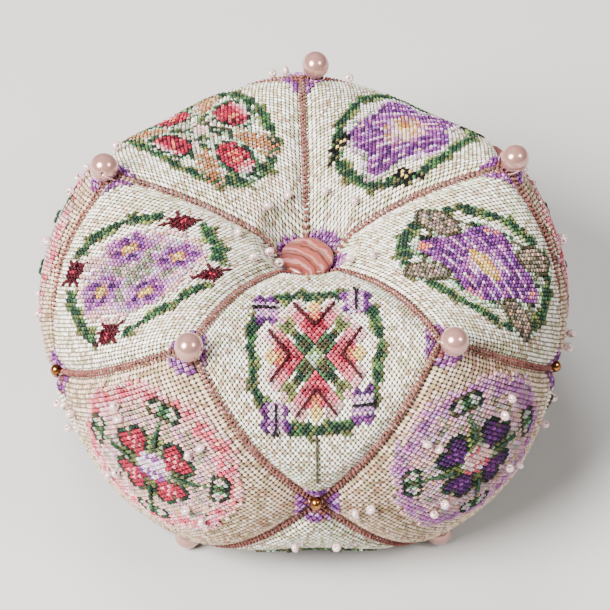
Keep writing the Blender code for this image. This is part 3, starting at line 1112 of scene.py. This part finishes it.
def seed_beads(material, cotton):
    """The small pearly beads, sewn flat on the cloth."""
    bm = bead(SEED)
    bmesh.ops.recalc_face_normals(bm, faces=bm.faces)
    corners, faces = triangles(bm)
    dice = np.random.default_rng(11)
    beads, threads = Work(), Work()
    for (group, number), square in SQUARES.items():
        spots = {
            "belt": BELT_BEADS + BACK_BEADS.get(number, ()),
            "bottom": BOTTOM_BEADS,
            "top": TOP_BEADS.get(number),
        }[group]
        if not spots:
            continue
        spots = np.array(spots) + THREADS / 2
        spots = spots + dice.normal(0.0, SEED_STRAY, spots.shape)
        middles, out = square.over(spots, SEED.radius + SEED_LIFT)
        axis = unit(np.cross(out, dice.normal(0.0, 1.0, out.shape)))
        third = np.cross(out, axis)
        size = dice.uniform(*SEED_SIZES, (len(spots), 1, 1))
        points = middles[:, None] + size * (
            corners[None, :, 0:1] * out[:, None] + corners[None, :, 1:2] * third[:, None]
            + corners[None, :, 2:3] * axis[:, None]
        )
        shades = linear(THREAD["seed"]) * dice.uniform(*SEED_SHADES, (len(spots), 1))
        beads.add(faces, points, shades, np.zeros_like(points))
        feet = middles - out * (SEED.radius + SEED_FOOT_DEPTH)
        lay_over(threads, feet - axis * SEED_FOOT, feet + axis * SEED_FOOT, out,
                 SEED.radius + SEED_HOLD_RISE, SEED_HOLD, shades, dice)
    beads.piece("seed_beads", material, "pearl")
    threads.piece("seed_bead_threads", cotton)


def carved_button(node, material, side):
    """A round shell button with the arcs of its growth carved across its face."""
    half = BUTTON_THICKNESS / 2
    bm = spun((
        (0.0, -half), (4.0, -half), (5.1, -half + 0.5), (BUTTON_RADIUS, -0.2), (BUTTON_RADIUS, 0.25),
        (5.3, 0.75), (4.6, half - 0.35), (3.8, half - 0.2), (3.0, half - 0.1), (2.2, half - 0.05),
        (1.4, half), (0.7, half), (0.0, half),
    ), BUTTON_STEPS, closed=False)
    bmesh.ops.subdivide_edges(bm, edges=bm.edges, cuts=1, use_grid_fill=True)
    for vert in bm.verts:
        away = math.hypot(vert.co.x, vert.co.y)
        if vert.co.z > 0.4:
            arc = math.hypot(vert.co.x - SHELL_X, vert.co.y - SHELL_Y)
            ridge = 0.5 - 0.5 * math.sin(2 * math.pi * arc / SHELL_STEP)
            vert.co.z -= CARVE_DEPTH * ridge * min(1.0, (CARVE_REACH - away) / CARVE_FADE)
        vert.co.z *= side
    mesh = mesh_of(bm, "carved_" + node)
    mesh.transform(Matrix.Translation(middle_of(node)) @ Matrix.Scale(MM, 4))
    piece = finished(mesh, material)
    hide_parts(node)


def beads_and_buttons(pearl, seed, gold, salmon, cotton):
    dice = np.random.default_rng(5)
    work = Work()
    for group, rows in (("upper", UPPER_PEARLS), ("lower", LOWER_PEARLS)):
        for k, row in enumerate(rows):
            sewn_bead(f"{group}_pearl_{k + 1}", row, PEARL, pearl, work, dice)
    for k in range(5):
        node = f"gold_bead_{k + 1}"
        x, y, z = (np.array(middle_of(node)) / MM) - SIDEWAYS
        row = Spot(math.degrees(math.atan2(x, -y)), math.hypot(x, y), z)
        sewn_bead(node, row, GOLD, gold, work, dice)
    work.piece("bead_threads", cotton)
    seed_beads(seed, cotton)
    carved_button("top_button", salmon, 1)
    carved_button("bottom_button", salmon, -1)


# Materials
class Nodes:
    """A short way to write a material's nodes."""

    def __init__(self, name):
        self.material = bpy.data.materials.new(name)
        self.material.use_nodes = True
        self.tree = self.material.node_tree
        self.shader = self.tree.nodes["Principled BSDF"]

    def join(self, value, socket):
        if isinstance(value, bpy.types.NodeSocket):
            self.tree.links.new(value, socket)
        else:
            socket.default_value = value

    def node(self, kind, inputs=(), output=0, **settings):
        """The output of a new node; inputs: each socket's number or name, with its value."""
        made = self.tree.nodes.new(kind)
        for name, value in settings.items():
            setattr(made, name, value)
        for socket, value in dict(inputs).items():
            self.join(value, made.inputs[socket])
        return made.outputs[output]

    def math(self, operation, *values):
        return self.node("ShaderNodeMath", enumerate(values), operation=operation)

    plus = partialmethod(math, "ADD")
    minus = partialmethod(math, "SUBTRACT")
    times = partialmethod(math, "MULTIPLY")
    sine = partialmethod(math, "SINE")

    def length(self, x, y):
        return self.math("SQRT", self.plus(self.times(x, x), self.times(y, y)))

    def ramp(self, value, low, high, most=1.0):
        """Value's place between low and high, smoothed, from 0 to the most."""
        values = enumerate((value, low, high, 0.0, most))
        return self.node("ShaderNodeMapRange", values, interpolation_type="SMOOTHSTEP")

    def mix(self, share, first, second, blend="MIX"):
        values = {0: share, 6: first, 7: second}
        return self.node("ShaderNodeMix", values, 2, data_type="RGBA", blend_type=blend)

    def noise(self, vector, scale, detail=2.0, roughness=0.5):
        values = {"Vector": vector, "Scale": scale, "Detail": detail, "Roughness": roughness}
        return self.node("ShaderNodeTexNoise", values, "Fac")

    def parts(self, vector):
        return self.node("ShaderNodeSeparateXYZ", {0: vector}).node.outputs

    def attribute(self, name, output="Vector"):
        return self.node("ShaderNodeAttribute", output=output, attribute_name=name)

    def place(self):
        return self.node("ShaderNodeTexCoord", output="Object")

    def bump(self, height, strength, distance):
        values = {"Height": height, "Strength": strength, "Distance": distance}
        self.set(Normal=self.node("ShaderNodeBump", values))

    def set(self, **values):
        for name, value in values.items():
            self.join(value, self.shader.inputs[name.replace("_", " ")])


def colour(red, green, blue):
    return (*linear((red, green, blue)), 1.0)


def evenweave():
    """Cream evenweave: threads over and under, holes where four threads meet, soft stains."""
    made = Nodes("evenweave")
    x, y, _ = made.parts(made.node("ShaderNodeUVMap", uv_map="threads"))
    in_x, in_y = [made.math("ABSOLUTE", made.minus(made.math("FRACT", a), 0.5)) for a in (x, y)]
    hole = made.ramp(made.plus(in_x, in_y), 0.55, 0.72)
    groove = made.ramp(made.math("MAXIMUM", in_x, in_y), 0.24, 0.48)
    column, row = made.math("FLOOR", x), made.math("FLOOR", y)
    off_x, off_y = [made.minus(made.math("MODULO", a, SHEET_STEP), THREADS / 2) for a in (x, y)]
    parity = made.math("MODULO", made.plus(column, row), 2.0)
    cell = made.node("ShaderNodeCombineXYZ", {0: column, 1: row})
    chance = made.node("ShaderNodeTexWhiteNoise", {"Vector": cell}, "Color", noise_dimensions="2D")
    red, green, blue = made.parts(chance)
    twist_x, twist_y = [
        made.sine(made.plus(made.times(a, 26.0), made.times(b, 9.0))) for a, b in ((x, y), (y, x))
    ]
    twist = made.plus(made.times(parity, twist_x), made.times(made.minus(1.0, parity), twist_y))
    spot = made.place()
    cloud = made.noise(spot, 70.0, 3.0, 0.6)
    stain = made.noise(spot, 180.0)
    blotch = made.noise(spot, 420.0, 1.0)
    base = made.mix(made.ramp(cloud, 0.35, 0.65), colour(234, 222, 194), colour(254, 249, 234))
    for share, tint in (
        (made.ramp(stain, 0.5, 0.7, 0.75), (206, 220, 172)),
        (made.ramp(stain, 0.48, 0.3, 0.75), (250, 206, 188)),
        (made.ramp(blotch, 0.52, 0.7, 0.7), (188, 152, 128)),
        (made.ramp(red, 0.3, 0.95, 0.9), (152, 128, 102)),
        (made.ramp(green, 0.55, 1.0, 0.8), (174, 194, 150)),
        # Painted glints: random thread crossings paled almost to white
        (made.ramp(blue, 0.5, 0.85, 0.9), (255, 254, 250)),
        (made.ramp(made.length(off_x, off_y), 17.0, 14.5, 0.6), (254, 254, 248)),
    ):
        base = made.mix(share, base, colour(*tint))
    # The belt's five squares lie in the third row of the sheet; their ground is multiplied darker and
    # rosier there, a painted shade with a rosy cast over the whole belt
    belt_shade_mask = made.math("GREATER_THAN", y, 1.9 * SHEET_STEP)
    base = made.mix(belt_shade_mask, base, colour(229, 205, 194), "MULTIPLY")
    # Painted shade: the cloth is darkened between the threads and darkest in the holes where four threads
    # meet
    base = made.mix(made.times(groove, 0.75), base, colour(134, 112, 84))
    base = made.mix(hole, base, colour(44, 34, 26))
    made.bump(made.minus(made.times(twist, 0.12), made.times(groove, 0.9)), 0.7, 0.00014)
    made.set(Base_Color=base, Roughness=0.85, Sheen_Weight=0.05, Sheen_Roughness=0.5)
    made.set(Specular_IOR_Level=0.2)
    return made.material


def cotton_thread():
    """Stranded cotton: the stitch's own colour, two twisted strands with a soft lustre."""
    made = Nodes("cotton_thread")
    shade = made.attribute("shade_here", "Color")
    across, up, along = made.parts(made.attribute("strand"))
    turn = made.math("ARCTAN2", up, across)
    ply = made.sine(made.plus(made.times(along, 7.0), made.times(turn, 2.0)))
    fibre_and_glint = made.noise(made.place(), 5200.0)
    # Painted shade: darker in the groove between the two twisted strands
    dark = made.mix(1.0, shade, colour(192, 180, 178), "MULTIPLY")
    base = made.mix(made.ramp(ply, -0.9, 0.3), dark, shade)
    # Painted highlights: pale glints on the fibres; the same noise also roughens the bump
    base = made.mix(made.ramp(fibre_and_glint, 0.55, 0.85, 0.08), base, colour(250, 246, 244))
    made.bump(made.plus(ply, made.times(fibre_and_glint, 0.6)), 0.5, 0.00006)
    made.set(Base_Color=base, Roughness=0.6, Sheen_Weight=0.02, Sheen_Roughness=0.4)
    made.set(Specular_IOR_Level=0.18)
    return made.material


def pearl_glaze(name, base, rim, metallic):
    """Imitation pearl: nacre that mirrors a little, with a pale bloom at its rim."""
    made = Nodes(name)
    cloud = made.noise(made.place(), 400.0)
    tone = made.mix(made.ramp(cloud, 0.3, 0.7), colour(*base), colour(*(0.93 * np.array(base))))
    made.set(Base_Color=tone, Metallic=metallic, Roughness=0.2, Coat_Weight=0.8, Coat_Roughness=0.12)
    made.set(Sheen_Weight=0.45, Sheen_Roughness=0.3, Sheen_Tint=colour(*rim))
    return made.material


def old_gold():
    """Polished metal, darker in patches."""
    made = Nodes("old_gold")
    cloud = made.noise(made.place(), 900.0)
    tone = made.mix(made.ramp(cloud, 0.3, 0.7), colour(176, 122, 66), colour(104, 64, 40))
    made.set(Base_Color=tone, Metallic=1.0, Roughness=0.24)
    return made.material


def salmon_shell():
    """Glossy salmon shell, with pale arcs along its growth lines."""
    made = Nodes("salmon_shell")
    middle = middle_of("top_button")
    x, y, _ = made.parts(made.place())
    away = made.length(made.minus(x, middle.x + SHELL_X * MM), made.minus(y, middle.y + SHELL_Y * MM))
    cloud = made.noise(made.place(), 350.0, 3.0)
    wave = made.times(away, 2 * math.pi / (SHELL_STEP * MM))
    wave = made.sine(made.plus(wave, made.times(cloud, 6.0)))
    tone = made.mix(made.ramp(cloud, 0.3, 0.7), colour(122, 60, 58), colour(138, 72, 56))
    # Painted shade: dark lines in the carved grooves between the pale arcs
    tone = made.mix(made.ramp(wave, -0.7, -1.0, 0.7), tone, colour(72, 34, 30))
    tone = made.mix(made.ramp(wave, 0.6, 1.0, 0.6), tone, colour(190, 130, 128))
    made.set(Base_Color=tone, Roughness=0.22, Coat_Weight=0.7, Coat_Roughness=0.08)
    made.set(Subsurface_Weight=0.12, Subsurface_Radius=(0.003, 0.0015, 0.001))
    return made.material


# Camera, light and floor
def look_from_photo():
    """The camera, at the photo's angle."""
    turn, lift = math.radians(CAMERA_AZIMUTH), math.radians(CAMERA_ELEVATION)
    facing = Matrix.Rotation(turn, 3, "Z") @ Matrix.Rotation(math.pi / 2 - lift, 3, "X")
    back = facing @ Vector((0.0, 0.0, CAMERA_DISTANCE * MM))
    camera = bpy.data.cameras.new("camera")
    camera.sensor_width = SENSOR
    camera.lens = SENSOR * PIXELS_A_MM * CAMERA_DISTANCE / PICTURE
    camera.shift_x = (PICTURE / 2 - PRINCIPAL_X) / PICTURE
    camera.shift_y = (PRINCIPAL_Y - PICTURE / 2) / PICTURE
    eye = new_object("camera", camera)
    spot = world([(0.0, 0.0, 0.0)])[0]
    roll = Matrix.Rotation(math.radians(-CAMERA_ROLL), 3, "Z")
    eye.matrix_world = Matrix.Translation(Vector(spot) + back) @ (facing @ roll).to_4x4()
    bpy.context.scene.camera = eye


def area_light(name, place_at, size, power, tint):
    light = bpy.data.lights.new(name, "AREA")
    light.shape = "DISK"
    light.size = size
    light.energy = power
    light.color = tint
    lamp = new_object(name, light)
    lamp.location = place_at
    lamp.rotation_euler = (Vector(LIGHT_AIM) - Vector(place_at)).to_track_quat("-Z", "Y").to_euler()
    return lamp


def studio():
    """A pale floor and soft light."""
    bm = bmesh.new()
    bmesh.ops.create_grid(bm, x_segments=1, y_segments=1, size=6.0)
    mesh = bpy.data.meshes.new("floor")
    bm.to_mesh(mesh)
    bm.free()
    made = Nodes("floor")
    made.set(Base_Color=(0.48, 0.47, 0.46, 1.0), Roughness=0.9)
    mesh.materials.append(made.material)
    floor = new_object("floor", mesh)
    area_light("left_light", (-0.62, -0.42, 0.76), 0.58, 50.0, (1.0, 0.98, 0.94))
    area_light("right_light", (0.62, -0.34, 0.76), 0.32, 7.0, (1.0, 0.98, 0.94))
    back = area_light("back_light", (-0.2, 0.45, 0.9), 0.5, 10.0, (0.97, 0.98, 1.0))
    back.visible_glossy = False
    world_light = bpy.data.worlds.new("studio")
    world_light.use_nodes = True
    sky = world_light.node_tree.nodes["Background"]
    sky.inputs["Color"].default_value = (0.9, 0.92, 1.0, 1.0)
    sky.inputs["Strength"].default_value = 0.09
    bpy.context.scene.world = world_light


look_from_photo()
studio()
CLOTH = evenweave()
COTTON = cotton_thread()
stuffed_cloth(CLOTH)
for key, chart in charts().items():
    embroider(key, SQUARES[key], chart, COTTON)
all_seams(COTTON)
beads_and_buttons(
    pearl_glaze("pearl_glaze", (194, 144, 134), (250, 214, 218), 0.55),
    pearl_glaze("seed_glaze", (236, 204, 202), (250, 214, 218), 0.3),
    old_gold(), salmon_shell(), COTTON,
)
